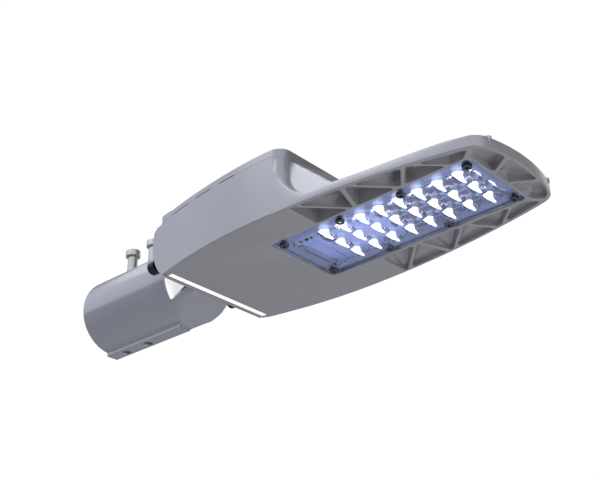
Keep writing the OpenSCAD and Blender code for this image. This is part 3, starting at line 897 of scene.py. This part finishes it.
def cover_hollow(x, y):
    """Depth of the hollows that sit over the light sources."""
    dx, dy = from_lens(x, y)
    return 3.4 * np.sqrt(np.maximum(1 - (dx / 3.4) ** 2 - (dy / 4.4) ** 2, 0))


def cover_grid(r):
    """Even grid over the cover, its corners pulled onto a radius r."""
    x, y = np.meshgrid(np.linspace(COVER_REAR, COVER_FRONT, 394),
                       np.linspace(-COVER_HALF, COVER_HALF, 155), indexing="ij")
    for end, cx in ((-1, COVER_REAR + r), (1, COVER_FRONT - r)):
        for s in SIDES:
            cy = s * (COVER_HALF - r)
            corner = ((x - cx) * end > 0) & ((y - cy) * s > 0)
            dx, dy = (x - cx) / r, (y - cy) / r
            square = np.maximum(np.abs(dx), np.abs(dy))
            length = np.maximum(np.hypot(dx, dy), 1e-9)
            x = np.where(corner, cx + dx * r * square / length, x)
            y = np.where(corner, cy + dy * r * square / length, y)
    return x, y


def build_cover():
    x, y = cover_grid(3.5)
    edge = cover_edge(x, y)
    low = 1.6 - cover_depth(x, y) + 0.5 * np.clip(1 - edge / 0.9, 0, 1) ** 2
    high = 5.0 - cover_hollow(x, y) - 1.6 * ease(np.clip((edge - 11.5) / 1.5, 0, 1))
    cover = slab("lens_cover_clear", x, y, low, np.maximum(high, low + 1.0))
    boolean(cover, [rod("hole", (sx, sy, -4), (sx, sy, 9), 2.7, 32) for sx, sy in MODULE_SCREWS])
    return finish_mesh(cover, 40, weighted=False)


show(build_cover(), "clear", "head", "lens_cover", "lens_cover")


def comma(x0, y0):
    """Glowing comma just under the skin of one lens: a rounded head for the lit chip's glare and a thin
    tail, a painted highlight along the lens's ridge.
    """
    loop = curve([(-2.8, -6.2), (-2.6, -10.2), (-0.6, -11.9), (3.4, -11.6), (5.9, -9.0), (5.0, -6.2),
                  (2.8, -3.6), (1.5, -0.6), (0.9, 2.6), (0.5, 4.6), (-0.3, 5.2), (-1.1, 4.2),
                  (-1.5, 1.6), (-2.3, -2.0), (-2.8, -6.2)], 4)[:-1] + [x0, y0]
    return loft("comma", [at_z(loop, 0.1), at_z(inset(loop, 0.1), -0.25)])


def painted_lens_highlights():
    parts = [comma(LENS_X + LENS_PITCH * i, ROW_PITCH * j) for i in LENSES for j in ROWS]
    return finish_mesh(join(parts, "painted_lens_highlights"), 60, weighted=False)


# the commas glow: painted highlights on the lenses
show(painted_lens_highlights(), "chip", "head", "led_chips", "led_chips")


# ---------------------------------------------------------------- CAD nodes that stay
KEPT = {
    "white": ["cable_seal", "rear_strip"],
    "steel": ["tilt_pins", "lid_hinge_pins", "driver_bracket", "driver_screws", "lid_screw_inserts"],
    "dark": ["lock_nut_left", "lock_nut_right"],
    "gasket": ["lens_gasket"],
    "board": ["led_board", "board_connector", "led_lead"],
    "alu": ["driver"],
    "cream": ["terminal_block"],
    "red": ["surge_protector"],
    "brass": ["earth_screw"],
    "black": ["cable_gland", "gland_nut", "breather_vent"],
    "rubber": ["lid_gasket", "cable_in_spigot", "cable_in_head"],
}
for material, kept in KEPT.items():
    for node in kept:
        dress(frame["nodes"][node], material)


# ---------------------------------------------------------------- floor, light, camera
def build_floor():
    bpy.ops.mesh.primitive_plane_add(size=9.0, location=(0.3, 0, -1.35))
    floor = bpy.context.object
    floor.name = "floor"
    floor.data.materials.append(plastic("pale_floor", (0.56, 0.56, 0.565), 0.8, 0.002))


def build_world():
    """Studio walls: bright on the near side with a crisp lower edge, dim on the far side."""
    world = bpy.data.worlds.new("studio")
    bpy.context.scene.world = world
    world.use_nodes = True
    nt = world.node_tree
    walls = nt.nodes["Background"]
    coords = nt.nodes.new("ShaderNodeTexCoord")
    xyz = nt.nodes.new("ShaderNodeSeparateXYZ")
    nt.links.new(coords.outputs["Generated"], xyz.inputs["Vector"])

    def step(axis, a, b):
        """0 to 1 as the direction's axis goes from a to b."""
        m = nt.nodes.new("ShaderNodeMapRange")
        m.interpolation_type = "SMOOTHSTEP"
        m.inputs["From Min"].default_value = a
        m.inputs["From Max"].default_value = b
        nt.links.new(xyz.outputs[axis], m.inputs["Value"])
        return m.outputs["Result"]

    def product(a, b):
        m = nt.nodes.new("ShaderNodeMath")
        m.operation = "MULTIPLY"
        nt.links.new(a, m.inputs[0])
        nt.links.new(b, m.inputs[1])
        return m.outputs[0]

    def over(colour, fac, base):
        """colour laid over base, a colour or a socket, as strongly as fac says."""
        m = nt.nodes.new("ShaderNodeMixRGB")
        nt.links.new(fac, m.inputs["Fac"])
        if isinstance(base, tuple):
            m.inputs["Color1"].default_value = (*base, 1)
        else:
            nt.links.new(base, m.inputs["Color1"])
        m.inputs["Color2"].default_value = (*colour, 1)
        return m.outputs["Color"]

    near_side = product(step("Z", 0.17, 0.24), step("Y", 0.25, -0.35))
    far_side = product(step("Z", 0.1, 0.35), step("Y", 0.1, 0.5))
    colour = over((0.92, 0.955, 1.08), near_side, (0.37, 0.38, 0.425))
    nt.links.new(over((0.17, 0.165, 0.165), far_side, colour), walls.inputs["Color"])
    # the camera itself sees plain white
    white = nt.nodes.new("ShaderNodeBackground")
    white.inputs["Color"].default_value = (1, 1, 1, 1)
    white.inputs["Strength"].default_value = 1.02
    path = nt.nodes.new("ShaderNodeLightPath")
    mix = nt.nodes.new("ShaderNodeMixShader")
    nt.links.new(path.outputs["Is Camera Ray"], mix.inputs["Fac"])
    nt.links.new(walls.outputs["Background"], mix.inputs[1])
    nt.links.new(white.outputs["Background"], mix.inputs[2])
    nt.links.new(mix.outputs["Shader"], nt.nodes["World Output"].inputs["Surface"])


def build_light(name, place, target, size, power, colour=(1, 1, 1)):
    """Square soft light at a place, aimed at a target, both in metres."""
    data = bpy.data.lights.new(name, "AREA")
    data.shape = "RECTANGLE"
    data.size = data.size_y = size
    data.energy = power
    data.color = colour
    light = bpy.data.objects.new(name, data)
    bpy.context.scene.collection.objects.link(light)
    light.location = place
    light.rotation_euler = (Vector(target) - Vector(place)).to_track_quat("-Z", "Y").to_euler()


def build_camera(place, azimuth, elevation, roll, lens):
    """Camera at a place in metres, aimed by angles in degrees from +X."""
    data = bpy.data.cameras.new("camera")
    data.sensor_width = 36.0
    data.lens = lens
    camera = bpy.data.objects.new("camera", data)
    bpy.context.scene.collection.objects.link(camera)
    az, el, roll = (math.radians(a) for a in (azimuth, elevation, roll))
    ahead = Vector((math.cos(el) * math.cos(az), math.cos(el) * math.sin(az), math.sin(el)))
    level = ahead.cross(Vector((0, 0, 1))).normalized()
    upright = level.cross(ahead)
    right = level * math.cos(roll) + upright * math.sin(roll)
    up = upright * math.cos(roll) - level * math.sin(roll)
    turn = Matrix((right, up, -ahead)).transposed()
    camera.matrix_world = Matrix.Translation(place) @ turn.to_4x4()
    bpy.context.scene.camera = camera


build_floor()
build_world()
build_light("key", (-0.3, -1.1, 1.5), (0.2, 0, 0), 1.2, 6, (0.95, 0.97, 1.0))
build_light("back", (0.25, 1.7, 1.0), (0.42, 0, 0), 1.2, 3, (1.0, 0.96, 0.90))
build_light("top", (-0.6, 0.0, 1.4), (0.0, 0, 0), 1.2, 3)
build_light("front", (1.3, 0.3, -0.85), (0.35, 0, 0), 1.3, 9, (1.0, 0.95, 0.88))
build_camera((0.8123, -0.6286, -0.4484), 131.71, 27.97, -0.7, 65.93)
bpy.context.scene.view_settings.view_transform = "Standard"
